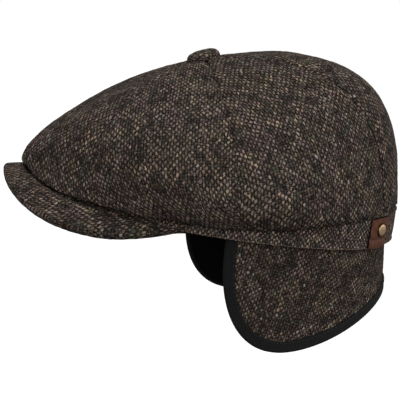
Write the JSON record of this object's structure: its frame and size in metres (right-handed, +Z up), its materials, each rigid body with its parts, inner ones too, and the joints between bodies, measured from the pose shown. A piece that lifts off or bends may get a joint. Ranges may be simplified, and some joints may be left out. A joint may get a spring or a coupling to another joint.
{
  "type": "earflap cap",
  "caption": "Tweed newsboy cap with a full panelled crown, a short visor, a plain band and a fleece-lined flap that hangs over the ears and nape.",
  "frame": {"origin": "centre of the head opening, level with the band's lower edge at the sides and back, where a head holds the cap", "axes": "+Z up through the crown as worn, -Y forward over the visor, +X towards the wearer's left, where the leather tab is"},
  "size_m": [0.2034, 0.2636, 0.1806],
  "materials": {
    "tweed": "heathered brown wool tweed",
    "black_fleece": "matt black fleece",
    "black_tape": "black woven binding tape",
    "brown_leather": "dark brown grained leather",
    "brass": "antique brass"
  },
  "bodies": {
    "root": {"crown_panel_left_1": "tweed", "crown_panel_left_2": "tweed", "crown_panel_left_3": "tweed", "crown_panel_left_4": "tweed", "crown_panel_right_1": "tweed", "crown_panel_right_2": "tweed", "crown_panel_right_3": "tweed", "crown_panel_right_4": "tweed", "top_button": "tweed", "head_band": "tweed", "visor": "tweed", "earflap_outer": "tweed", "earflap_lining": "black_fleece", "earflap_binding": "black_tape", "leather_tab": "brown_leather", "tab_stud": "brass"}
  },
  "joints": []
}
